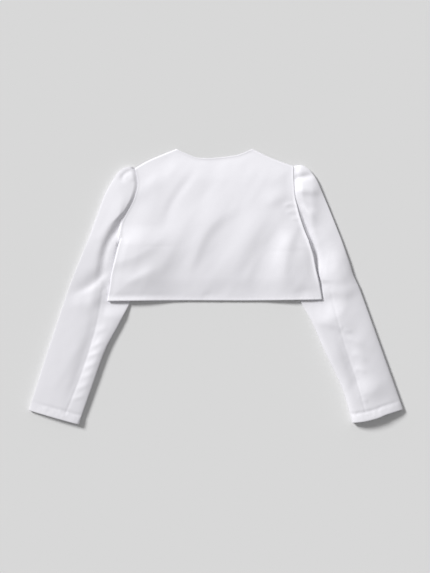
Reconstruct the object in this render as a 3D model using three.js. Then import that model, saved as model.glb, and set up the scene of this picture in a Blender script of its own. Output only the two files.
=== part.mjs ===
import * as THREE from 'three';

// A girl's cropped satin jacket (a bolero) with an open front and long sleeves gathered at
// the shoulder. It lies flat on its front, back up, with its sleeves spread to both sides.
// Millimetres: X runs across the back, Y from the hem to the neck, Z up from the surface.
// Left and right are those of the wearer, so the left sleeve lies at negative X.

// Cloth and seams
const WALL = 1.3;              // thickness of the cloth wall
const SEAM_GAP = 0.45;         // clear space between two pieces sewn together
const ARMHOLE_GAP = 0.6;       // clear space between a sleeve and the armhole, in plan
const LEAST_HOLLOW = 0.3;      // least space between the two layers of a sleeve
const FOLD_INSET = 2.2;        // cloth at a sleeve's folded edge, across the fold

// Body
const BODY_FULLNESS = 2.2;     // space between back and fronts, away from their seams
const LEAST_FULLNESS = 0.8;    // the same at the bottom of the deepest trough
const RIM = 8;                 // width over which the back curls down to a side or shoulder seam
const NECK_LEFT = 0.265;       // share of the back's width at the neck's two ends
const NECK_RIGHT = 0.745;
const UNDERARM = 0.46;         // share of the side's height at the underarm

// Where the body lies on a sleeve
const UNDER_BODY = 3.6;        // height of a sleeve below the body
const LIFT = 4.7;              // height of the fronts' underside over it
const LIFT_RAMP = 20;          // width of the slope up to that height
const LIFT_LEAD = 8;           // the slope ends this far before the sleeve's edge
const LIFT_START = 2;          // the slope along the side seam starts this far below the underarm
const LIFT_LENGTH = 10;        // and is this long
const CLEARANCE = 9;           // a sleeve stays that low until this far out from the body
const RELEASE = 16;            // and rises to its own height over this distance

// Sleeves
const BICEPS = 0.7;            // share of a sleeve's length at the biceps line
const FOLD_SHARE = 0.42;       // height of a folded edge in the local height of the sleeve
const FOLD_HEIGHT = 3.4;       // and its greatest height
const FOLD_RADIUS = 4;         // rounding of the underside at a folded edge
const SQUARENESS = 2.8;        // 2 makes a sleeve's section an ellipse, more makes it flatter

const HEM = [[-190.7, -1.8], [-60, -0.6], [65, -0.8], [188.2, 0.9]];
const NECK = [[-69.3, 266.1], [-51, 257.5], [-34.8, 251.4], [-17, 249.7], [4.4, 250.7],
  [23.9, 253], [43.3, 256.6], [65.7, 266.1]];

// One side of the garment: its outline, the arm's edges and its folds. A fold is a soft
// trough (negative height) or ridge along a line, with a round section of the given width.
const LEFT = {
  name: 'left',
  sign: -1,
  sideSeam: [[-190.7, -1.8], [-186.4, 23], [-184, 43], [-178.8, 66], [-174, 86], [-168, 108]],
  armhole: [[-168, 108], [-165, 134], [-155.5, 154], [-146, 171.5], [-140.5, 186],
    [-136.7, 202], [-138, 217], [-142, 232]],
  shoulder: [[-142, 232], [-117, 246.3], [-69.3, 266.1]],
  frontEdge: [[-66, -0.6], [-42, 12], [-34, 50], [-34, 110], [-44, 190], [-56, 255]],
  cuff: [[-241, -219], [-284, -207.5], [-328.7, -194.4]],
  biceps: [[-172.8, 94], [-196, 102.5], [-221.5, 113]],
  innerArm: [[-241, -219], [-217, -151], [-194.5, -88.5], [-170, -42], [-151, -3.5],
    [-145, 28], [-152, 60], [-163, 82], [-172.8, 94]],
  outerArm: [[-328.7, -194.4], [-296, -92], [-264, 3.5], [-249, 45], [-235.5, 78],
    [-221.5, 113]],
  outerHead: [[-221.5, 113], [-211.5, 141.4], [-195.5, 184], [-178, 215], [-165, 230.5],
    [-151, 234.5], [-142, 232]],
  sections: [
    { along: 0, crown: 10.5 },
    { along: 0.06, crown: 10 },
    { along: 0.3, crown: 10.8 },
    { along: 0.55, crown: 11.5 },
    { along: 0.75, crown: 13 },
    { along: 0.9, crown: 15 },
    { along: 1, crown: 12 },
  ],
  sleeveFolds: [
    { name: 'seam', width: 8, height: -1.8,
      line: [[-264, -200], [-239.5, -138], [-220, -79.5], [-207.5, -32], [-199, 20], [-184, 75]] },
    { name: 'elbow valley', width: 10, height: -3,
      line: [[-153, 158], [-182, 122], [-197.5, 85], [-208.5, 46], [-215, 30]] },
    { name: 'elbow crease', width: 8, height: -3, line: [[-213, 35], [-250, 14]] },
    { name: 'elbow ridge', width: 9, height: 2, line: [[-215, 12], [-245, -4]] },
    { name: 'gather 1', width: 4.5, height: -2.6, line: [[-137, 207], [-154, 203]] },
    { name: 'gather 2', width: 4.5, height: -3, line: [[-138, 218], [-160, 215]] },
    { name: 'gather 3', width: 4, height: -2.6, line: [[-143, 228], [-158, 230]] },
    { name: 'gather 4', width: 5, height: -2, line: [[-139, 190], [-158, 184]] },
    { name: 'head puff', width: 13, height: 2.5, line: [[-163, 200], [-185, 165]] },
  ],
};

const RIGHT = {
  name: 'right',
  sign: 1,
  sideSeam: [[188.2, 0.9], [183.8, 28], [179.3, 46], [175.8, 63], [172.5, 80], [166, 100.7]],
  armhole: [[166, 100.7], [156.8, 122.5], [148.6, 146.5], [143.5, 166.5], [139.8, 182.5],
    [138.3, 202.5], [137.3, 218], [137.5, 236]],
  shoulder: [[137.5, 236], [102.3, 248.6], [65.7, 266.1]],
  frontEdge: [[66, -0.6], [42, 12], [34, 50], [34, 110], [43, 190], [54, 255]],
  cuff: [[241.2, -216.1], [263, -213.5], [284.8, -208.1], [303, -200.9], [331, -192.6]],
  biceps: [[171.6, 86], [196, 93.5], [223, 104]],
  innerArm: [[241.2, -216.1], [223.5, -155.5], [193.5, -92], [170.5, -39], [151, -3.5],
    [144.5, 25], [151, 55], [162, 74], [171.6, 86]],
  outerArm: [[331, -192.6], [294, -90], [257, 12.4], [249, 31], [242.5, 46], [235, 70],
    [223, 104]],
  outerHead: [[223, 104], [203, 154], [188.5, 189], [178.5, 212], [165, 230], [150, 238],
    [137.5, 236]],
  sections: [
    { along: 0, crown: 14 },
    { along: 0.06, crown: 12.5 },
    { along: 0.3, crown: 12.5 },
    { along: 0.55, crown: 12 },
    { along: 0.75, crown: 12 },
    { along: 0.9, crown: 14 },
    { along: 1, crown: 12 },
  ],
  sleeveFolds: [
    { name: 'seam', width: 8, height: -1.8,
      line: [[264, -198], [248, -141], [237.5, -109], [225, -70], [214, -32], [202, 20], [184, 70]] },
    { name: 'elbow crease', width: 8, height: -3.2, line: [[181, 41], [198, 31], [240, 34]] },
    { name: 'elbow ridge', width: 9, height: 1.8, line: [[190, 12], [228, 12]] },
    { name: 'upper ridge', width: 10, height: 1.6, line: [[186, 72], [215, 60]] },
    { name: 'cuff crease', width: 8, height: -2.6, line: [[269, -173], [322, -160]] },
    { name: 'gather 1', width: 4.5, height: -3, line: [[141, 216], [163, 215]] },
    { name: 'gather 2', width: 4.5, height: -2.6, line: [[139.5, 229], [156, 231]] },
    { name: 'gather 3', width: 5, height: -2.4, line: [[141, 202], [160, 200]] },
    { name: 'gather 4', width: 5, height: -2.6, line: [[144, 172], [166, 171]] },
    { name: 'head puff', width: 12, height: 2, line: [[162, 190], [184, 165]] },
  ],
};

const SIDES = [LEFT, RIGHT];

const BACK_FOLDS = [
  { name: 'long trough', width: 34, height: -1.4, line: [[44, 132], [-6, 86], [-80, 30]] },
  { name: 'ridge above it', width: 26, height: 1.2, line: [[-20, 150], [-70, 95], [-118, 52]] },
  { name: 'short trough', width: 20, height: -1.2, line: [[104, 124], [84, 84], [72, 50]] },
  { name: 'ridge between', width: 18, height: 1, line: [[72, 140], [48, 92], [20, 48]] },
  { name: 'right ridge', width: 18, height: 1, line: [[126, 128], [112, 86], [108, 40]] },
  { name: 'left armhole pull', width: 12, height: -1, line: [[-148, 160], [-124, 186]] },
  { name: 'right armhole pull', width: 12, height: -1.2, line: [[146, 172], [114, 146]] },
  { name: 'shoulder trough', width: 14, height: -0.8, line: [[-42, 222], [-88, 163], [-98, 122]] },
];

// Shares along each grid line: close together where the cloth curls, wider apart elsewhere
const SHOULDER_STEPS = [0, 0.015, 0.045, 0.1, 0.18, 0.27, 0.37, 0.48, 0.59, 0.71, 0.85, 1];
const NECK_STEPS = 13;
const FRONT_STEPS = 4;
const SIDE_STEPS = [0, 0.06, 0.16, 0.27, 0.38, 0.49, 0.6, 0.71, 0.8, 0.89, 1];
const ARMHOLE_STEPS = [0, 0.07, 0.16, 0.26, 0.36, 0.46, 0.55, 0.63, 0.7, 0.77, 0.83, 0.89, 0.945, 1];
const TOP_STEPS = [0, 0.015, 0.04, 0.08, 0.14, 0.21, 0.29, 0.37, 0.45, 0.53, 0.61, 0.68, 0.74,
  0.8, 0.85, 0.9, 0.94, 0.975, 1];
const BOTTOM_STEPS = [0.96, 0.89, 0.8, 0.7, 0.6, 0.5, 0.4, 0.3, 0.2, 0.11, 0.04];
const ARM_STEPS = [0, 0.02, 0.05, 0.1, 0.17, 0.25, 0.33, 0.41, 0.48, 0.54, 0.58, 0.61, 0.64, 0.67, 0.7,
  0.73, 0.77, 0.82, 0.88, 0.94, 1];
const HEAD_STEPS = [0.1, 0.21, 0.33, 0.45, 0.57, 0.68, 0.78, 0.86, 0.93, 1];

function clamp01(t) {
  return Math.min(1, Math.max(0, t));
}

function smooth(t) {
  const c = clamp01(t);
  return c * c * (3 - 2 * c);
}

function mix(a, b, t) {
  return a + (b - a) * t;
}

// Height of a quarter circle over its width, from 0 at the rim to 1
function quarter(distance, width) {
  const t = 1 - clamp01(distance / width);
  return Math.sqrt(1 - t * t);
}

// A curve through points, as a function of the share of its length
function through(points) {
  const curve = new THREE.SplineCurve(points.map(([x, y]) => new THREE.Vector2(x, y)));
  return (t) => curve.getPointAt(clamp01(t));
}

// Curves end to end, each over its own share of the whole
function joined(curves, ends) {
  return (t) => {
    const k = Math.max(0, ends.findIndex((end) => t <= end + 1e-9));
    const start = k === 0 ? 0 : ends[k - 1];
    return curves[k]((t - start) / (ends[k] - start));
  };
}

function reversed(curve) {
  return (t) => curve(1 - t);
}

// The same curve moved sideways, to the side of the given sign
function beside(curve, distance, sign) {
  const step = 0.01;
  return (t) => {
    const along = curve(Math.min(1, t + step)).sub(curve(Math.max(0, t - step))).normalize();
    return curve(t).add(new THREE.Vector2(sign * along.y, -sign * along.x).multiplyScalar(distance));
  };
}

function sampled(curve, count) {
  return Array.from({ length: count + 1 }, (_, i) => curve(i / count));
}

// A patch between four curves that share their corners
function patch(bottom, top, left, right) {
  return (u, v) => {
    const across = bottom(u).multiplyScalar(1 - v).add(top(u).multiplyScalar(v));
    const up = left(v).multiplyScalar(1 - u).add(right(v).multiplyScalar(u));
    const low = bottom(0).multiplyScalar(1 - u).add(bottom(1).multiplyScalar(u));
    const high = top(0).multiplyScalar(1 - u).add(top(1).multiplyScalar(u));
    return across.add(up).sub(low.multiplyScalar(1 - v)).sub(high.multiplyScalar(v));
  };
}

// The nearest point of a line of points, and how far away it is
function nearest(line, x, y) {
  let best = { distance: Infinity, x, y };
  for (let i = 1; i < line.length; i += 1) {
    const a = line[i - 1];
    const b = line[i];
    const dx = b.x - a.x;
    const dy = b.y - a.y;
    const t = clamp01(((x - a.x) * dx + (y - a.y) * dy) / (dx * dx + dy * dy));
    const px = a.x + dx * t;
    const py = a.y + dy * t;
    const distance = Math.hypot(x - px, y - py);
    if (distance < best.distance) best = { distance, x: px, y: py };
  }
  return best;
}

// Where a line of points that runs up the garment meets the given y
function xAtHeight(line, y) {
  for (let i = 1; i < line.length; i += 1) {
    const low = line[i - 1];
    const high = line[i];
    if (y <= high.y) return mix(low.x, high.x, clamp01((y - low.y) / (high.y - low.y)));
  }
  return line[line.length - 1].x;
}

function insideLoop(loop, x, y) {
  let inside = false;
  for (let i = 0, j = loop.length - 1; i < loop.length; j = i, i += 1) {
    const a = loop[i];
    const b = loop[j];
    const crosses = a.y > y !== b.y > y;
    if (crosses && x < ((b.x - a.x) * (y - a.y)) / (b.y - a.y) + a.x) inside = !inside;
  }
  return inside;
}

function withLines(folds) {
  return folds.map((fold) => {
    const line = fold.line.map(([x, y]) => new THREE.Vector2(x, y));
    return { ...fold, line };
  });
}

function foldHeight(folds, x, y) {
  return folds.reduce((sum, fold) => {
    const away = nearest(fold.line, x, y).distance / fold.width;
    return sum + fold.height * Math.exp(-away * away);
  }, 0);
}

const backFolds = withLines(BACK_FOLDS);
const hem = through(HEM);
const neck = through(NECK);
const seams = SIDES.map((side) => {
  const sideSeam = through(side.sideSeam);
  const armhole = through(side.armhole);
  const shoulder = through(side.shoulder);
  return {
    ...side,
    sideSeamCurve: sideSeam,
    armholeCurve: armhole,
    shoulderCurve: shoulder,
    edge: joined([sideSeam, armhole], [UNDERARM, 1]),
    curled: [sampled(sideSeam, 20), sampled(shoulder, 12)],
    armholeLine: sampled(armhole, 30),
    innerLine: sampled(through(side.innerArm), 60),
    sleeveFolds: withLines(side.sleeveFolds),
    underarmY: side.sideSeam[side.sideSeam.length - 1][1],
  };
});
const [left, right] = seams;

const topEdge = joined(
  [left.shoulderCurve, neck, reversed(right.shoulderCurve)],
  [NECK_LEFT, NECK_RIGHT, 1],
);
const backPatch = patch(hem, topEdge, left.edge, right.edge);
const bodyOutline = [
  ...sampled(hem, 20),
  ...sampled(right.edge, 50).slice(1),
  ...sampled(topEdge, 40).reverse().slice(1),
  ...sampled(left.edge, 50).reverse().slice(1),
];

// How far the body is lifted where it lies on the hidden edge of a sleeve
function lift(x, y) {
  return seams.reduce((sum, side) => {
    const past = side.sign * (x - xAtHeight(side.innerLine, y)) + LIFT_LEAD;
    const down = side.underarmY - LIFT_START - y;
    return sum + LIFT * smooth(down / LIFT_LENGTH) * smooth((past + LIFT_RAMP) / LIFT_RAMP);
  }, 0);
}

// The back rests on the fronts at its curled seams and stands clear of them between
function backUnderside(x, y) {
  const seamLines = [...left.curled, ...right.curled];
  const inward = Math.min(...seamLines.map((line) => nearest(line, x, y).distance));
  const fullness = Math.max(LEAST_FULLNESS, BODY_FULLNESS + foldHeight(backFolds, x, y));
  return lift(x, y) + WALL + SEAM_GAP + fullness * quarter(inward, RIM);
}

// A closed wall between two grids of points that have the same rows and columns
function wall(outer, inner, closedRows) {
  const rows = outer.length;
  const columns = outer[0].length;
  const positions = [];
  const indices = [];
  const number = (layer, row, column) => (layer * rows + row) * columns + (column % columns);
  for (const grid of [outer, inner]) {
    for (const row of grid) {
      for (const point of row) positions.push(...point);
    }
  }
  const quad = (a, b, c, d) => indices.push(a, b, c, a, c, d);
  const spans = closedRows ? columns : columns - 1;
  for (let r = 0; r < rows - 1; r += 1) {
    for (let c = 0; c < spans; c += 1) {
      quad(number(0, r, c), number(0, r, c + 1), number(0, r + 1, c + 1), number(0, r + 1, c));
      quad(number(1, r, c), number(1, r + 1, c), number(1, r + 1, c + 1), number(1, r, c + 1));
    }
  }
  for (let c = 0; c < spans; c += 1) {
    const last = rows - 1;
    quad(number(0, 0, c), number(1, 0, c), number(1, 0, c + 1), number(0, 0, c + 1));
    quad(number(0, last, c), number(0, last, c + 1), number(1, last, c + 1), number(1, last, c));
  }
  if (!closedRows) {
    for (let r = 0; r < rows - 1; r += 1) {
      const last = columns - 1;
      quad(number(0, r, 0), number(0, r + 1, 0), number(1, r + 1, 0), number(1, r, 0));
      quad(number(0, r, last), number(1, r, last), number(1, r + 1, last), number(0, r + 1, last));
    }
  }
  return facingOut(positions, indices);
}

// Turns every triangle round when the body would otherwise be inside out
function facingOut(positions, indices) {
  let volume = 0;
  const corner = (i) => new THREE.Vector3().fromArray(positions, indices[i] * 3);
  for (let i = 0; i < indices.length; i += 3) {
    volume += corner(i).dot(corner(i + 1).cross(corner(i + 2)));
  }
  if (volume < 0) indices.reverse();
  const geometry = new THREE.BufferGeometry();
  geometry.setAttribute('position', new THREE.Float32BufferAttribute(positions, 3));
  geometry.setIndex(indices);
  geometry.computeVertexNormals();
  return geometry;
}

function spaced(steps, start, end) {
  return steps.map((t) => mix(start, end, t));
}

function evenly(count) {
  return Array.from({ length: count + 1 }, (_, i) => i / count);
}

const bodyRows = [
  ...spaced(SIDE_STEPS, 0, UNDERARM),
  ...spaced(ARMHOLE_STEPS, UNDERARM, 1).slice(1),
];
const leftColumns = spaced(SHOULDER_STEPS, 0, NECK_LEFT);
const rightColumns = spaced(SHOULDER_STEPS, 1, NECK_RIGHT).reverse();
const neckColumns = spaced(evenly(NECK_STEPS), NECK_LEFT, NECK_RIGHT).slice(1, -1);

function backPanel() {
  const columns = [...leftColumns, ...neckColumns, ...rightColumns];
  const layer = (rise) => bodyRows.map((v) => columns.map((u) => {
    const { x, y } = backPatch(u, v);
    return [x, y, backUnderside(x, y) + rise];
  }));
  return wall(layer(WALL), layer(0), false);
}

// A front has the back's points from its side seam to the neck's end, then runs on to its
// own open edge, so that both layers rise over a sleeve alike.
function frontPanel(side, columns) {
  const openEdge = through(side.frontEdge);
  const neckEnd = columns[columns.length - 1];
  const layer = (rise) => bodyRows.map((v) => {
    const shared = columns.map((u) => backPatch(u, v));
    const start = backPatch(neckEnd, v);
    const end = openEdge(v);
    const own = evenly(FRONT_STEPS).slice(1).map((t) => start.clone().lerp(end, t));
    return [...shared, ...own].map(({ x, y }) => [x, y, lift(x, y) + rise]);
  });
  return wall(layer(WALL), layer(0), false);
}

function crownAt(sections, along) {
  const k = Math.max(1, sections.findIndex((section) => along <= section.along));
  const a = sections[k - 1];
  const b = sections[k];
  return mix(a.crown, b.crown, smooth((along - a.along) / (b.along - a.along)));
}

// A sleeve is a flattened tube. Its plan is two patches that meet at the biceps line: the
// arm below it and the head above it, which ends beside the armhole.
function sleeveSurface(side) {
  const armholeSide = beside(side.armholeCurve, ARMHOLE_GAP, side.sign);
  const biceps = through(side.biceps);
  const headStart = biceps(0);
  const underarm = armholeSide(0);
  const tip = armholeSide(1);
  const innerHead = (t) => headStart.clone().lerp(underarm, t);
  const outerPoints = side.outerHead.slice(0, -1).concat([[tip.x, tip.y]]);
  const arm = patch(through(side.cuff), biceps, through(side.innerArm), through(side.outerArm));
  const head = patch(biceps, armholeSide, innerHead, through(outerPoints));
  const plan = (u, v) => (v <= BICEPS ? arm(u, v / BICEPS) : head(u, (v - BICEPS) / (1 - BICEPS)));

  // The height that the body leaves for the sleeve, near it or under it
  const allowed = (x, y, crown) => {
    const seam = nearest(side.armholeLine, x, y);
    const seamTop = backUnderside(seam.x, seam.y) + WALL;
    const below = smooth((side.underarmY - LIFT_START - y) / LIFT_LENGTH);
    const cap = mix(seamTop, UNDER_BODY, below);
    const away = insideLoop(bodyOutline, x, y) ? 0 : nearest(bodyOutline, x, y).distance;
    const clearance = CLEARANCE * below;
    const free = smooth((away - clearance) / RELEASE);
    return { cap, free, height: mix(cap, crown, free) };
  };

  return (u, v) => {
    const { x, y } = plan(u, v);
    const inner = plan(0, v);
    const outer = plan(1, v);
    const width = inner.distanceTo(outer);
    const crown = crownAt(side.sections, v);
    const foldAt = (end) => {
      const { height } = allowed(end.x, end.y, crown);
      return Math.min(FOLD_HEIGHT, FOLD_SHARE * height);
    };
    const fold = mix(foldAt(inner), foldAt(outer), u);
    const round = (1 - Math.abs(2 * u - 1) ** SQUARENESS) ** (1 / SQUARENESS);
    const room = allowed(x, y, crown);
    const own = fold + (crown + foldHeight(side.sleeveFolds, x, y) - fold) * round;
    const top = Math.min(own, mix(room.cap, own, room.free));
    const fromEdge = Math.min(u, 1 - u) * width;
    const bottom = fold * (1 - quarter(fromEdge, FOLD_RADIUS));
    return { x, y, top, bottom, width };
  };
}

function sleeve(side) {
  const surface = sleeveSurface(side);
  const rows = [...spaced(ARM_STEPS, 0, BICEPS), ...spaced(HEAD_STEPS, BICEPS, 1)];
  const outer = rows.map((v) => [
    ...TOP_STEPS.map((u) => surface(u, v)).map(({ x, y, top }) => [x, y, top]),
    ...BOTTOM_STEPS.map((u) => surface(u, v)).map(({ x, y, bottom }) => [x, y, bottom]),
  ]);
  const inner = rows.map((v) => {
    const inset = FOLD_INSET / surface(0, v).width;
    const lining = (u, isTop) => {
      const { x, y, top, bottom } = surface(mix(inset, 1 - inset, u), v);
      const middle = (top + bottom) / 2;
      const hollow = Math.max(LEAST_HOLLOW, top - bottom - 2 * WALL) / 2;
      const atFold = u === 0 || u === 1;
      if (atFold) return [x, y, middle];
      return [x, y, isTop ? middle + hollow : middle - hollow];
    };
    return [
      ...TOP_STEPS.map((u) => lining(u, true)),
      ...BOTTOM_STEPS.map((u) => lining(u, false)),
    ];
  });
  return wall(outer, inner, true);
}

const satin = new THREE.MeshStandardMaterial({ color: 0xf3f3f7, roughness: 0.42, metalness: 0 });

function piece(name, geometry) {
  const mesh = new THREE.Mesh(geometry, satin.clone());
  mesh.name = name;
  return mesh;
}

const garment = new THREE.Group();
garment.add(piece('back_panel', backPanel()));
garment.add(piece('front_left', frontPanel(left, leftColumns)));
garment.add(piece('front_right', frontPanel(right, [...rightColumns].reverse())));
garment.add(piece('sleeve_left', sleeve(left)));
garment.add(piece('sleeve_right', sleeve(right)));

// The origin is the middle of the garment's length and width, on the surface it lies on.
const box = new THREE.Box3().setFromObject(garment);
const middle = box.getCenter(new THREE.Vector3());
garment.position.set(-middle.x, -middle.y, -box.min.z);

export default garment;
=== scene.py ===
import bpy
import numpy as np
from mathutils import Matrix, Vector


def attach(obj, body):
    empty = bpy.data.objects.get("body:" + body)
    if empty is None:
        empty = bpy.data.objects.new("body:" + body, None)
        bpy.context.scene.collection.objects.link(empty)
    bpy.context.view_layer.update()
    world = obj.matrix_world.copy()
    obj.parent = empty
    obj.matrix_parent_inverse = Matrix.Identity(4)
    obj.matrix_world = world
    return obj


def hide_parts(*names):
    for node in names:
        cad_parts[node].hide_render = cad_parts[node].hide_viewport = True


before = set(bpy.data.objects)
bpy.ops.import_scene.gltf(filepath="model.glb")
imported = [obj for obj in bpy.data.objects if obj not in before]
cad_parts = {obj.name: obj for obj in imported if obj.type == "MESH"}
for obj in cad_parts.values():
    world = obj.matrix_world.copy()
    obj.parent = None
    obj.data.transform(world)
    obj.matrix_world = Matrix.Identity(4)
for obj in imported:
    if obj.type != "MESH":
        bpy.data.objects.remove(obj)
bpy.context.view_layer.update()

# A girl's cropped satin jacket, open at the front, laid flat with its back up.
# Shapes are worked out in millimetres, in the garment's own plan: X across the back, Y from
# the hem to the neck, Z up. Left and right are the wearer's.
MM = 0.001

# Cloth and seams
SHELL = 0.8            # the cloth's own thickness here, with its seam allowances
LAYER_GAP = 0.35       # least space between the back and the fronts
TUCK = 1.5             # how far a sleeve runs in under the back's edge at the armhole
SEAM_STEP = 0.45       # and how much lower it lies there
FOLD_INSET = 1.6       # how far in from a sleeve's two folded edges its inner face ends
LEAST_HOLLOW = 0.5     # least room inside a sleeve

# Body
BODY_FULLNESS = 3.2    # room between the back and the fronts, before the folds
DOME = 2.6             # how much higher the middle of the back is than its hem and neck
LEAST_FULLNESS = 0.8   # least room there in the trough of a fold
RIM = 3.2              # width of the back's curl down to its side and shoulder seams
SIDE_FALL = 18         # how far in from the side seams the back is full
HIGHEST = 266          # the neck's two ends
NECK_LEFT, NECK_RIGHT = 0.265, 0.745
UNDERARM = 0.46

# Where the body lies on a sleeve
UNDER_BODY, LIFT, LIFT_RAMP, LIFT_LEAD = 4.2, 4.7, 74, 8
LIFT_START, LIFT_LENGTH = -26, 38
CLEARANCE = 2

# Sleeves
BICEPS = 0.7
FOLD_SHARE, FOLD_RADIUS = 0.68, 5
FADE = 0.4             # share of a fold's length over which it fades out at each end
LIT_SIDE = np.array([-0.707, 0.707])
PULL_AXES = np.array([[0.56, -0.83], [0.83, 0.56]])

HEM = [(-190.7, -1.8), (-60, -0.6), (65, -0.8), (188.2, 0.9)]
NECK = [(-69.3, 266.1), (-51, 257.5), (-34.8, 251.4), (-17, 249.7), (4.4, 250.7),
        (23.9, 253), (43.3, 256.6), (65.7, 266.1)]

# A fold is a soft trough (negative height) or ridge along a line. Its two widths are those of
# its side towards the light (upper left in the photo) and of its other side.
LEFT = dict(
    name="left", sign=-1, inner_square=5, outer_square=1.35,
    fold_heights=(6, 6.4), roll_from=(118, 160), arm_release=28, head_release=7,
    side_share=0.75, lift_skew=0.35,
    side_seam=[(-190.7, -1.8), (-186.4, 23), (-184, 43), (-178.8, 66), (-174, 86), (-168, 108)],
    armhole=[(-168, 108), (-165, 134), (-155.5, 154), (-146, 171.5), (-140.5, 186),
             (-136.7, 202), (-138, 217), (-142, 232)],
    shoulder=[(-142, 232), (-117, 246.3), (-69.3, 266.1)],
    front_edge=[(-66, -0.6), (-42, 12), (-34, 50), (-34, 110), (-44, 190), (-56, 255)],
    cuff=[(-241, -219), (-284, -207.5), (-328.7, -194.4)],
    biceps=[(-172.8, 94), (-196, 102.5), (-221.5, 113)],
    inner_arm=[(-241, -219), (-217, -151), (-194.5, -88.5), (-170, -42), (-151, -3.5),
               (-145, 28), (-152, 60), (-163, 82), (-172.8, 94)],
    outer_arm=[(-328.7, -194.4), (-296, -92), (-264, 3.5), (-249, 45), (-235.5, 78),
               (-221.5, 113)],
    outer_head=[(-221.5, 113), (-211.5, 141.4), (-195.5, 184), (-178, 215), (-165, 230.5),
                (-151, 234.5), (-142, 232)],
    sections=[(0, 10.5, 0.4), (0.06, 10, 0.4), (0.25, 10, 0.4), (0.4, 9, 0.4), (0.5, 7.8, 0.4),
              (0.58, 8.8, 0.45), (0.75, 10.5, 0.45), (0.9, 11, 0.45), (1, 9, 0.5)],
    sleeve_folds=[
        ("head pleat", -4.2, 3.5, 4, [(-170, 209), (-161, 222), (-151, 228), (-140, 230)]),
        ("head dimple", -1.8, 6, 6, [(-167, 206), (-161, 221)]),
        ("head bump", 1.4, 5, 5, [(-150, 224), (-147, 207)]),
        ("arm valley", -4, 8, 8, [(-134, 172), (-150, 150), (-163, 134), (-186, 108),
                                   (-195, 87), (-200, 62), (-206, 34), (-212, 14)]),
        ("elbow crease", -4.8, 13, 8, [(-186, 62), (-204, 42), (-222, 27), (-240, 18), (-268, 6)]),
        ("elbow ridge", 2, 12, 12, [(-262, 6), (-230, -7), (-198, 12)]),
        ("pocket", -1.2, 5, 5, [(-202, 37), (-193, 24), (-184, 13)]),
        ("seam valley", -2.8, 13, 14, [(-198, 16), (-207, -32), (-221, -79.5), (-240.5, -138),
                                       (-266, -204)]),
        ("forearm streak", 0.6, 14, 9, [(-246, -78), (-268, -124), (-302, -172)]),
        ("inner strip ridge", 1.5, 16, 8, [(-166, -14), (-184, -46), (-206, -92), (-230, -155),
                                         (-244, -200)]),
        ("pucker 1", 0.7, 7, 5, [(-215, -62), (-200, -52), (-186, -48)]),
        ("pucker 2", 0.8, 6, 4, [(-222, -88), (-208, -78), (-194, -74)]),
        ("pucker 3", 0.7, 4, 4, [(-228, -104), (-214, -96), (-200, -92)]),
        ("pucker 4", 0.8, 6, 4, [(-235, -125), (-220, -115), (-206, -110)]),
        ("pucker 5", 0.6, 5, 4, [(-241, -141), (-227, -134), (-214, -130)]),
        ("pucker 6", 0.75, 5, 4, [(-248, -160), (-234, -153), (-221, -148)]),
        ("pucker 7", 0.7, 4, 4, [(-255, -178), (-242, -172), (-229, -168)]),
    ],
    seam_line=[(-264, -200), (-239.5, -138), (-220, -79.5), (-207.5, -32), (-199, 20)],
)

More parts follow.
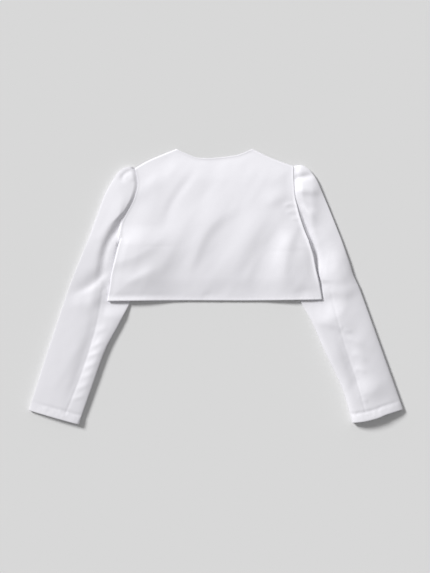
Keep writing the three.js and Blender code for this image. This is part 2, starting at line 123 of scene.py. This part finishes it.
RIGHT = dict(
    name="right", sign=1, inner_square=3, outer_square=1.8,
    fold_heights=(4.4, 5), roll_from=(110, 170), arm_release=42, head_release=15,
    side_share=0.75, lift_skew=0,
    side_seam=[(188.2, 0.9), (183.8, 28), (179.3, 46), (175.8, 63), (172.5, 80), (166, 100.7)],
    armhole=[(166, 100.7), (156.8, 122.5), (148.6, 146.5), (143.5, 166.5), (139.8, 182.5),
             (138.3, 202.5), (137.3, 218), (137.5, 236)],
    shoulder=[(137.5, 236), (102.3, 248.6), (65.7, 266.1)],
    front_edge=[(66, -0.6), (42, 12), (34, 50), (34, 110), (43, 190), (54, 255)],
    cuff=[(241.2, -216.1), (263, -213.5), (284.8, -208.1), (303, -200.9), (331, -192.6)],
    biceps=[(171.6, 86), (196, 93.5), (223, 104)],
    inner_arm=[(241.2, -216.1), (223.5, -155.5), (193.5, -92), (170.5, -39), (151, -3.5),
               (144.5, 25), (151, 55), (162, 74), (171.6, 86)],
    outer_arm=[(331, -192.6), (294, -90), (257, 12.4), (249, 31), (242.5, 46), (235, 70),
               (223, 104)],
    outer_head=[(223, 104), (203, 154), (188.5, 189), (178.5, 212), (165, 230), (150, 238),
                (137.5, 236)],
    sections=[(0, 15.5, 0.3), (0.06, 14.5, 0.3), (0.25, 13, 0.35), (0.4, 10.5, 0.5),
              (0.55, 9.5, 0.6), (0.63, 9.5, 0.7), (0.73, 7.4, 0.3), (0.8, 7.2, 0.2),
              (0.92, 10.5, 0.6), (1, 10, 0.7)],
    sleeve_folds=[
        ("head crease", -4.6, 6, 5, [(130, 214), (152, 216), (184, 224)]),
        ("head bump", 3.6, 14, 8, [(128, 192), (160, 193), (196, 190)]),
        ("head fold", -1.9, 7, 8, [(138, 175), (157, 168), (178, 152)]),
        ("armhole valley", -5, 5, 6, [(146, 178), (155, 146), (165, 118), (174, 90), (180, 64),
                                      (182, 40)]),
        ("elbow ridge 1", 2.4, 26, 6, [(160, 44), (178, 41), (194, 36), (212, 36)]),
        ("elbow ridge 2", 4.8, 30, 19, [(176, 34), (208, 39), (236, 46), (262, 62)]),
        ("elbow ridge 3", 2.6, 13, 12, [(168, 12), (205, 15), (232, 15), (268, 32)]),
        ("forearm ridge", 2, 22, 9, [(172, -38), (212, -43), (250, -55)]),
        ("seam valley", -3.5, 12, 15, [(213, -42), (218, -60), (225.5, -79.5),
                                       (237.5, -109.5), (250, -145), (268, -196)]),
        ("cross ridge 1", 1, 7, 6, [(222, -64), (244, -72), (266, -84)]),
        ("cross ridge 2", 1, 6, 7, [(232, -92), (252, -98), (272, -110)]),
        ("cross ridge 3", 2.4, 18, 14, [(236, -158), (270, -161), (312, -138)]),
        ("pucker 1", 0.6, 4, 4, [(224, -52), (242, -57)]),
        ("pucker 2", 0.7, 4, 5, [(241, -119), (256, -123), (268, -129)]),
        ("pucker 3", 0.6, 4, 4, [(256, -175), (270, -179)]),
        ("inner strip ridge", 1, 8, 10, [(158, -6), (190, -80), (226, -172)]),
    ],
    seam_line=[(264, -198), (248, -141), (237.5, -109), (225, -70), (214, -32), (202, 20)],
)

BACK_FOLDS = [
    ("main ridge", 2.3, 26, 17, [(-30, 176), (-54, 138), (-70, 106), (-91, 72), (-116, 45),
                                 (-150, 22), (-190, 4)]),
    ("left ridge", 3, 42, 14, [(-76, 136), (-100, 108), (-128, 86), (-160, 72), (-200, 64),
                                 (-256, 50)]),
    ("small ridge below it", 1.1, 8, 8, [(-98, 60), (-130, 42), (-166, 24)]),
    ("second ridge", 2.9, 28, 13, [(44, 174), (12, 152), (-12, 130), (-28, 102), (-42, 66),
                                   (-52, 36)]),
    ("third ridge", 2.6, 22, 18, [(102, 176), (70, 122), (46, 84), (26, 48), (14, 10)]),
    ("fourth ridge", 3, 19, 13, [(156, 152), (134, 112), (124, 84), (120, 54), (116, 12)]),
    ("faint crease", -1.1, 8, 9, [(-22, 246), (-48, 212), (-66, 187), (-82, 158), (-96, 116)]),
    ("left armhole ridge", 1.6, 12, 15, [(-144, 168), (-122, 198), (-88, 220)]),
    ("neck ridge", 1.2, 12, 15, [(-6, 226), (31, 242), (70, 254)]),
    ("right armhole ridge", 1.6, 15, 12, [(76, 168), (112, 180), (142, 194)]),
    ("low ridge", 0.9, 20, 14, [(82, 96), (60, 56), (52, 14)]),
    ("pucker 1", 0.7, 3.5, 3.5, [(146, 165), (133, 169), (117, 164)]),
    ("pucker 2", 0.6, 3.5, 3.5, [(147, 154), (134, 156), (122, 151)]),
    ("pucker 3", 0.5, 3, 3.5, [(149, 143), (133, 144)]),
    ("hem corner", -1.2, 9, 12, [(134, 9), (164, 14), (192, 12)]),
    ("hem dimple", -0.6, 5, 6, [(-26, 8), (0, 11)]),
]


def smooth(t):
    c = np.clip(t, 0, 1)
    return c * c * (3 - 2 * c)


def mix(a, b, t):
    return a + (b - a) * t


def quarter(distance, width):
    t = 1 - np.clip(distance / width, 0, 1)
    return np.sqrt(1 - t * t)


def many(count):
    return np.linspace(0, 1, count + 1)


def through(points):
    """A smooth curve through points, as a function of the share of its length."""
    pts = np.array(points, float)
    spans = len(pts) - 1
    t = np.linspace(0, spans, 60 * spans + 1)
    i = np.minimum(t.astype(int), spans - 1)
    w = (t - i)[:, None]
    p0, p1 = pts[np.maximum(i - 1, 0)], pts[i]
    p2, p3 = pts[np.minimum(i + 1, spans)], pts[np.minimum(i + 2, spans)]
    v0, v1 = (p2 - p0) / 2, (p3 - p1) / 2
    line = (2 * p1 - 2 * p2 + v0 + v1) * w**3 + (3 * p2 - 3 * p1 - 2 * v0 - v1) * w**2 + v0 * w + p1
    along = np.concatenate([[0], np.cumsum(np.linalg.norm(np.diff(line, axis=0), axis=1))])
    along /= along[-1]

    def at(share):
        share = np.asarray(share, float)
        return np.stack([np.interp(share, along, line[:, k]) for k in (0, 1)], axis=-1)

    return at


def joined(curves, ends):
    starts = [0, *ends[:-1]]

    def at(share):
        share = np.asarray(share, float)
        result = curves[0](share / ends[0])
        for curve, start, end in zip(curves[1:], starts[1:], ends[1:]):
            later = curve((share - start) / (end - start))
            result = np.where((share > start)[..., None], later, result)
        return result

    return at


def reversed_curve(curve):
    return lambda share: curve(1 - np.asarray(share, float))


def beside(curve, distance, sign):
    def at(share):
        share = np.asarray(share, float)
        along = curve(np.minimum(1, share + 0.01)) - curve(np.maximum(0, share - 0.01))
        along /= np.linalg.norm(along, axis=-1, keepdims=True)
        side = np.stack([sign * along[..., 1], -sign * along[..., 0]], axis=-1)
        return curve(share) + distance * side

    return at


def patch(bottom, top, left, right):
    """A patch between four curves that share their corners."""

    def at(u, v):
        a, b = u[..., None], v[..., None]
        across = bottom(u) * (1 - b) + top(u) * b
        up = left(v) * (1 - a) + right(v) * a
        low = bottom(0.0) * (1 - a) + bottom(1.0) * a
        high = top(0.0) * (1 - a) + top(1.0) * a
        return across + up - low * (1 - b) - high * b

    return at


def nearest(line, points):
    """How far each point is from a line of points, at what share of its length, and in which
    direction."""
    a, b = line[:-1], line[1:]
    d = b - a
    lengths = np.maximum(np.linalg.norm(d, axis=1), 1e-9)
    starts = np.concatenate([[0], np.cumsum(lengths)])[:-1]
    flat = points.reshape(-1, 1, 2)
    t = np.clip(((flat - a) * d).sum(-1) / (lengths**2), 0, 1)
    away = np.linalg.norm(flat - a - t[..., None] * d, axis=-1)
    k = away.argmin(1)
    rows = np.arange(len(k))
    share = (starts[k] + t[rows, k] * lengths[k]) / lengths.sum()
    offset = (flat[:, 0] - a[k] - t[rows, k][:, None] * d[k]).reshape(points.shape)
    shape = points.shape[:-1]
    return away[rows, k].reshape(shape), share.reshape(shape), offset


def inside_loop(loop, points):
    x, y = points[..., 0], points[..., 1]
    inside = np.zeros(x.shape, bool)
    for a, b in zip(loop, np.roll(loop, 1, axis=0)):
        if a[1] != b[1]:
            crosses = (a[1] > y) != (b[1] > y)
            inside ^= crosses & (x < (b[0] - a[0]) * (y - a[1]) / (b[1] - a[1]) + a[0])
    return inside


def folds_at(folds, points):
    """Sum of the folds' heights. Each fades out towards its two ends."""
    total = np.zeros(points.shape[:-1])
    for _, height, lit_width, far_width, line in folds:
        away, share, offset = nearest(through(line)(many(14)), points)
        width = np.where(offset @ LIT_SIDE > 0, lit_width, far_width)
        fade = smooth(np.minimum(share, 1 - share) / FADE)
        total += height * fade * np.exp(-((away / width) ** 2))
    return total


def noise(points, size, seed, stretch=1):
    """Smooth bumps of about the given size, from -1 to 1, the same in each run. They are
    longer by the stretch along the way that the cloth pulls, from upper right to lower left."""
    values = np.random.default_rng(seed).uniform(-1, 1, (64, 64))
    p = points @ PULL_AXES / (size * np.array([stretch, 1])) + 20
    i = np.floor(p).astype(int)
    f = smooth(p - i)

    def corner(dx, dy):
        return values[(i[..., 0] + dx) % 64, (i[..., 1] + dy) % 64]

    low = mix(corner(0, 0), corner(1, 0), f[..., 0])
    high = mix(corner(0, 1), corner(1, 1), f[..., 0])
    return mix(low, high, f[..., 1])


hem, neck = through(HEM), through(NECK)
for side in (LEFT, RIGHT):
    side["side_curve"] = through(side["side_seam"])
    side["armhole_curve"] = through(side["armhole"])
    side["shoulder_curve"] = through(side["shoulder"])
    side["edge"] = joined([side["side_curve"], side["armhole_curve"]], [UNDERARM, 1])
    side["curled"] = [side["side_curve"](many(20)), side["shoulder_curve"](many(12))]
    side["armhole_line"] = side["armhole_curve"](many(30))
    side["inner_line"] = through(side["inner_arm"])(many(60))
    side["underarm_y"] = side["side_seam"][-1][1]

top_edge = joined(
    [LEFT["shoulder_curve"], neck, reversed_curve(RIGHT["shoulder_curve"])],
    [NECK_LEFT, NECK_RIGHT, 1],
)
back_patch = patch(hem, top_edge, LEFT["edge"], RIGHT["edge"])
body_outline = np.concatenate([
    hem(many(20)),
    RIGHT["edge"](many(50))[1:],
    top_edge(many(40))[::-1][1:],
    LEFT["edge"](many(50))[::-1][1:],
])


def lift(points):
    """How far the body is lifted where it lies on the hidden edge of a sleeve."""
    total = np.zeros(points.shape[:-1])
    for side in (LEFT, RIGHT):
        line = side["inner_line"]
        edge_x = np.interp(points[..., 1], line[:, 1], line[:, 0])
        past = side["sign"] * (points[..., 0] - edge_x) + LIFT_LEAD
        past += side["lift_skew"] * np.clip(points[..., 1], 0, 90)
        down = side["underarm_y"] - LIFT_START - points[..., 1]
        total += LIFT * smooth(down / LIFT_LENGTH) * smooth((past + LIFT_RAMP) / LIFT_RAMP)
    return total


def back_top(points):
    """Height of the back's upper face."""
    curled = [nearest(line, points)[0] for side in (LEFT, RIGHT) for line in side["curled"]]
    inward = np.min(curled, axis=0)
    from_side = np.minimum(curled[0], curled[2])
    fullness = np.maximum(LEAST_FULLNESS, BODY_FULLNESS + folds_at(BACK_FOLDS, points))
    up = points[..., 1]
    fullness *= mix(0.7, 1, smooth(up / 42)) * mix(0.6, 1, smooth((HIGHEST - up) / 60))
    side_share = np.where(points[..., 0] < 0, LEFT["side_share"], RIGHT["side_share"])
    fullness *= mix(side_share, 1, smooth(from_side / SIDE_FALL))
    return lift(points) + SHELL + LAYER_GAP + fullness * quarter(inward, RIM) + SHELL


def build_mesh(name, vertices, faces):
    mesh = bpy.data.meshes.new(name)
    mesh.from_pydata((np.asarray(vertices) * MM).tolist(), [], faces)
    mesh.polygons.foreach_set("use_smooth", [True] * len(mesh.polygons))
    mesh.validate()
    mesh.update()
    obj = bpy.data.objects.new(name, mesh)
    bpy.context.scene.collection.objects.link(obj)
    return obj


def rolled_edge(outer, inner):
    """Points that round the rim between two closed edges of the cloth."""
    middle = (outer + inner) / 2
    along = np.roll(middle, -1, axis=0) - np.roll(middle, 1, axis=0)
    through_wall = outer - inner
    thick = np.linalg.norm(through_wall, axis=1, keepdims=True)
    out = np.cross(along, through_wall)
    out /= np.maximum(np.linalg.norm(out, axis=1, keepdims=True), 1e-9)
    return middle, out * thick / 2


def shell(name, outer, inner, closed_rows):
    """A closed cloth wall between two grids, with rounded edges all round."""
    rows, columns = outer.shape[:2]
    grids = [outer.reshape(-1, 3), inner.reshape(-1, 3)]
    count = rows * columns
    spans = columns if closed_rows else columns - 1
    r = np.arange(rows - 1)[:, None]
    c = np.arange(spans)[None, :]
    a = (r * columns + c).ravel()
    b = (r * columns + (c + 1) % columns).ravel()
    d = ((r + 1) * columns + c).ravel()
    e = ((r + 1) * columns + (c + 1) % columns).ravel()
    faces = np.stack([a, b, e, d], 1).tolist()
    faces += (np.stack([a, d, e, b], 1) + count).tolist()
    if closed_rows:
        loops = [np.arange(columns), (rows - 1) * columns + np.arange(columns)[::-1]]
    else:
        low = np.arange(columns)
        right = np.arange(1, rows) * columns + columns - 1
        high = (rows - 1) * columns + np.arange(columns - 1)[::-1]
        left = np.arange(1, rows - 1)[::-1] * columns
        loops = [np.concatenate([low, right, high, left])]
    vertices = list(grids)
    total = 2 * count
    for loop in loops:
        middle, out = rolled_edge(grids[0][loop], grids[1][loop])
        if closed_rows:
            within = grids[0][loop + (columns if loop[0] < columns else -columns)]
        else:
            within = grids[0].mean(0)
        away = ((middle - within) * out).sum()
        rim = middle + out * (1 if away > 0 else -1)
        vertices.append(rim)
        n = len(loop)
        k = np.arange(n)
        nxt = (k + 1) % n
        faces += np.stack([loop[nxt], loop[k], total + k, total + nxt], 1).tolist()
        faces += np.stack([total + nxt, total + k, loop[k] + count, loop[nxt] + count], 1).tolist()
        total += n
    return build_mesh(name, np.concatenate(vertices), faces)


def make_plan():
    """The shares across and up at which the garment's plan is sampled."""
    shoulder = many(52) ** 1.3
    columns = np.concatenate([
        NECK_LEFT * shoulder,
        mix(NECK_LEFT, NECK_RIGHT, many(76))[1:-1],
        (1 - (1 - NECK_RIGHT) * shoulder)[::-1],
    ])
    rows = np.concatenate([UNDERARM * many(58), mix(UNDERARM, 1, 1 - (1 - many(70)) ** 1.2)[1:]])
    return columns, rows


columns, rows = make_plan()


def back_details(points):
    away_hem, along_hem, _ = nearest(hem(many(20)), points)
    away_neck = nearest(neck(many(40)), points)[0]
    dome = DOME * (1 - ((points[..., 1] - 125) / 150) ** 2)
    waves = 0.55 * noise(points, 30, 3, 2.6) + 0.16 * noise(points, 12, 5, 3)
    rise = mix(2, 0.2, smooth((along_hem - 0.1) / 0.32))
    lip = rise * (np.exp(-((away_hem / 4.8) ** 2)) - 0.2 * np.exp(-(((away_hem - 9) / 5) ** 2)))
    neck_roll = 0.15 * np.exp(-((away_neck / 3) ** 2))
    gathers = 0.2 * noise(points, 3.2, 9) * np.exp(-away_hem / 7)
    edge = nearest(body_outline, points)[0]
    across, up = points[..., 0], points[..., 1]
    near_sleeve = smooth((across - 130) / 12) * smooth((195 - up) / 40) * smooth((up - 15) / 30)
    edge_roll = 0.5 * np.exp(-((edge / 2.2) ** 2)) + 1.8 * near_sleeve * np.exp(-((edge / 3.4) ** 2))
    return dome * smooth(edge / 40) + waves * smooth(edge / 14) + lip + neck_roll + gathers + edge_roll


def make_back():
    u, v = np.meshgrid(columns, rows)
    points = back_patch(u, v)
    top = back_top(points) + back_details(points)
    outer = np.concatenate([points, top[..., None]], -1)
    inner = np.concatenate([points, (top - SHELL)[..., None]], -1)
    return shell("back_cloth", outer, inner, False)


def make_front(side, name):
    share = NECK_LEFT * many(52) ** 1.3 if side is LEFT else 1 - (1 - NECK_RIGHT) * many(52) ** 1.3
    u, v = np.meshgrid(share, rows)
    shared = back_patch(u, v)
    open_edge = through(side["front_edge"])(rows)
    own = mix(shared[:, -1:, :], open_edge[:, None, :], many(30)[1:][None, :, None])
    points = np.concatenate([shared, own], 1)
    low = lift(points)
    bottom = np.concatenate([points, low[..., None]], -1)
    top = np.concatenate([points, (low + SHELL)[..., None]], -1)
    return shell(name, top, bottom, False)


class Sleeve:
    def __init__(self, side):
        self.side = side
        armhole_side = beside(side["armhole_curve"], -TUCK, side["sign"])
        biceps = through(side["biceps"])
        underarm, tip, head_start = armhole_side(0.0), armhole_side(1.0), biceps(0.0)
        inner_head = lambda t: mix(head_start, underarm, np.asarray(t, float)[..., None])
        outer_head = through([*side["outer_head"][:-1], tuple(tip)])
        self.arm = patch(through(side["cuff"]), biceps, through(side["inner_arm"]),
                         through(side["outer_arm"]))
        self.head = patch(biceps, armhole_side, inner_head, outer_head)
        self.seam = through(side["seam_line"])(many(40))

    def plan(self, u, v):
        low = self.arm(u, np.minimum(v / BICEPS, 1))
        high = self.head(u, np.maximum((v - BICEPS) / (1 - BICEPS), 0))
        return np.where((v <= BICEPS)[..., None], low, high)

    def section(self, v):
        """Height of the crown, and its place across as a share of the width."""
        along, crown, peak = np.array(self.side["sections"]).T
        k = np.clip(np.searchsorted(along, v), 1, len(along) - 1)
        t = smooth((v - along[k - 1]) / (along[k] - along[k - 1]))
        return mix(crown[k - 1], crown[k], t), mix(peak[k - 1], peak[k], t)

    def room(self, points):
        side = self.side
        share = np.maximum(0.1, nearest(side["armhole_line"], points)[1])
        seam_top = back_top(side["armhole_curve"](share)) - SEAM_STEP
        below = smooth((side["underarm_y"] - 2 - points[..., 1]) / 10)
        inside = inside_loop(body_outline, points)
        away = np.where(inside, 0, nearest(body_outline, points)[0])
        seam_top -= (SHELL - SEAM_STEP + 0.1) * (1 - smooth(away / 1.2))
        under = np.where(inside, np.clip(lift(points) - 0.4, 2, UNDER_BODY), UNDER_BODY)
        cap = mix(seam_top, under, below)
        beside_body = mix(seam_top, under, smooth((side["underarm_y"] + 8 - points[..., 1]) / 60))
        cap = mix(cap, beside_body, smooth(away / 6))
        low, high = side["roll_from"]
        head = smooth((points[..., 1] - low) / (high - low))
        release = mix(side["arm_release"], side["head_release"], head)
        return cap, smooth((away - CLEARANCE * below) / release), away

    def details(self, points):
        away = nearest(self.seam, points)[0]
        cuff_away = nearest(through(self.side["cuff"])(many(20)), points)[0]
        waves = 0.4 * noise(points, 26, 11, 1.6) + 0.16 * noise(points, 11, 12, 1.6)
        seam_puckers = 0.15 * noise(points, 6, 4, 2) * np.exp(-((away / 8) ** 2))
        groove = -0.5 * np.exp(-((away / 1.6) ** 2))
        band = -1.1 * np.exp(-(((cuff_away - 15.5) / 3) ** 2))
        cuff_lip = 1.6 * np.exp(-((cuff_away / 9) ** 2))
        cuff_gathers = 0.35 * noise(points, 4.5, 6) * np.exp(-(((cuff_away - 11) / 8) ** 2))
        return waves + seam_puckers + groove + band + cuff_lip + cuff_gathers

    def at(self, u, v):
        """Plan point, height of the upper face and height of the lower face."""
        points = self.plan(u, v)
        first, last = self.plan(np.zeros_like(v), v), self.plan(np.ones_like(v), v)
        width = np.linalg.norm(last - first, axis=-1)
        crown, peak = self.section(v)
        fold_ends = []
        for end, greatest in zip((first, last), self.side["fold_heights"]):
            cap, free, _ = self.room(end)
            fold_ends.append(np.minimum(greatest, FOLD_SHARE * mix(cap, crown, free)))
        fold = mix(fold_ends[0], fold_ends[1], u)
        across = np.where(u < peak, 1 - u / peak, (u - peak) / (1 - peak))
        square = np.where(u < peak, self.side["inner_square"], self.side["outer_square"])
        round_share = np.maximum(0, 1 - across**square) ** (1 / square)
        cap, free, away = self.room(points)
        own = fold + (crown - fold) * round_share
        top = np.minimum(own, mix(cap, own, free))
        relief = folds_at(self.side["sleeve_folds"], points) + self.details(points)
        top += relief * round_share * smooth(away / 5)
        bottom = fold * (1 - quarter(np.minimum(u, 1 - u) * width, FOLD_RADIUS))
        top = np.maximum(top, bottom + (2 * SHELL + LEAST_HOLLOW) * round_share)
        return points, top, bottom, width


def make_sleeve(side, name):
    sleeve = Sleeve(side)
    top_u = 0.5 - 0.5 * np.cos(np.pi * many(72))
    bottom_u = (0.5 - 0.5 * np.cos(np.pi * many(30)))[1:-1][::-1]
    along = np.concatenate([BICEPS * many(170), mix(BICEPS, 1, many(64))[1:]])
    ring_u = np.concatenate([top_u, bottom_u])
    on_top = np.concatenate([np.ones(len(top_u), bool), np.zeros(len(bottom_u), bool)])
    u, v = np.meshgrid(ring_u, along)
    points, top, bottom, width = sleeve.at(u, v)
    outer = np.concatenate([points, np.where(on_top, top, bottom)[..., None]], -1)
    inset = FOLD_INSET / width
    points, top, bottom, _ = sleeve.at(mix(inset, 1 - inset, u), v)
    middle = (top + bottom) / 2
    hollow = np.maximum(LEAST_HOLLOW, top - bottom - 2 * SHELL) / 2
    at_fold = (u == 0) | (u == 1)
    height = np.where(at_fold, middle, np.where(on_top, middle + hollow, middle - hollow))
    inner = np.concatenate([points, height[..., None]], -1)
    return shell(name, outer, inner, True)


def satin_material():
    material = bpy.data.materials.new("satin")
    material.use_nodes = True
    nodes, links = material.node_tree.nodes, material.node_tree.links
    shader = nodes["Principled BSDF"]
    shader.inputs["Roughness"].default_value = 0.46
    shader.inputs["Sheen Weight"].default_value = 0.15
    shader.inputs["Sheen Roughness"].default_value = 0.45
    shader.inputs["Specular IOR Level"].default_value = 0.36
    place = nodes.new("ShaderNodeTexCoord")
    cloud = nodes.new("ShaderNodeTexNoise")
    cloud.inputs["Scale"].default_value = 9
    cloud.inputs["Detail"].default_value = 4
    tone = nodes.new("ShaderNodeValToRGB")
    tone.color_ramp.elements[0].color = (0.795, 0.786, 0.828, 1)
    tone.color_ramp.elements[1].color = (0.815, 0.806, 0.846, 1)
    weave = nodes.new("ShaderNodeTexWave")
    weave.inputs["Scale"].default_value = 700
    weave.inputs["Distortion"].default_value = 1.5
    weave.inputs["Detail"].default_value = 2
    bump = nodes.new("ShaderNodeBump")
    bump.inputs["Strength"].default_value = 0.06
    bump.inputs["Distance"].default_value = 0.0002
    links.new(place.outputs["Object"], cloud.inputs["Vector"])
    links.new(place.outputs["Object"], weave.inputs["Vector"])
    links.new(cloud.outputs["Fac"], tone.inputs["Fac"])
    links.new(tone.outputs["Color"], shader.inputs["Base Color"])
    links.new(weave.outputs["Fac"], bump.inputs["Height"])
    links.new(bump.outputs["Normal"], shader.inputs["Normal"])
    return material


def make_floor():
    bpy.ops.mesh.primitive_plane_add(size=8, location=(0, 0, 0))
    floor = bpy.context.object
    floor.name = "floor"
    material = bpy.data.materials.new("floor_paint")
    material.use_nodes = True
    shader = material.node_tree.nodes["Principled BSDF"]
    shader.inputs["Base Color"].default_value = (0.8, 0.8, 0.8, 1)
    shader.inputs["Roughness"].default_value = 0.95
    shader.inputs["Specular IOR Level"].default_value = 0.1
    floor.data.materials.append(material)
    return floor


# Camera: straight down, framed as 430 x 573 pixels of 1.767 mm
PIXEL = 1.767 * MM
IMAGE_HEIGHT = 573 * PIXEL
LENS, SENSOR = 120, 36


def add_camera():
    data = bpy.data.cameras.new("camera")
    data.lens = LENS
    data.sensor_width = SENSOR
    camera = bpy.data.objects.new("camera", data)
    camera.location = (-0.0020, 0.0003, IMAGE_HEIGHT * LENS / SENSOR)
    bpy.context.scene.collection.objects.link(camera)
    bpy.context.scene.camera = camera


def add_lights(lit_objects):
    world = bpy.data.worlds.new("studio")
    world.use_nodes = True
    world.node_tree.nodes["Background"].inputs["Color"].default_value = (1, 1, 1, 1)
    world.node_tree.nodes["Background"].inputs["Strength"].default_value = 0.3
    bpy.context.scene.world = world
    key = bpy.data.lights.new("key", "SUN")
    key.energy = 3.05
    key.angle = 0.3
    obj = bpy.data.objects.new("key", key)
    obj.location = (-1.3, 1, 1.15)
    obj.rotation_euler = (-obj.location).to_track_quat("-Z", "Y").to_euler()
    bpy.context.scene.collection.objects.link(obj)
    soft = bpy.data.lights.new("soft_box", "AREA")
    soft.shape = "RECTANGLE"
    soft.size, soft.size_y = 0.6, 0.2
    soft.energy = 0.33
    box = bpy.data.objects.new("soft_box", soft)
    box.location = (0.02, 0.36, 0.27)
    box.rotation_euler = (Vector((0, 0.05, 0)) - box.location).to_track_quat("-Z", "Y").to_euler()
    bpy.context.scene.collection.objects.link(box)
    lit = bpy.data.collections.new("lit_by_soft_box")
    for item in lit_objects:
        lit.objects.link(item)
    box.light_linking.receiver_collection = lit
    bpy.context.scene.view_settings.view_transform = "Standard"


add_camera()
make_floor()
satin = satin_material()

cloth = {
    "back_panel": make_back(),
    "front_left": make_front(LEFT, "front_left_cloth"),
    "front_right": make_front(RIGHT, "front_right_cloth"),
    "sleeve_left": make_sleeve(LEFT, "sleeve_left_cloth"),
    "sleeve_right": make_sleeve(RIGHT, "sleeve_right_cloth"),
}

add_lights(cloth.values())

# The middle of the plan goes to the origin, as in the solids.
corners = np.array([c for obj in cloth.values() for c in obj.bound_box])
shift = -(corners.min(0) + corners.max(0)) / 2
for obj in cloth.values():
    for vertex in obj.data.vertices:
        vertex.co.x += shift[0]
        vertex.co.y += shift[1]

# Each piece gets the satin and hangs from the root body, and the CAD part it stands for is hidden
for node, obj in cloth.items():
    obj.data.materials.append(satin)
    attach(obj, "root")
    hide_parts(node)
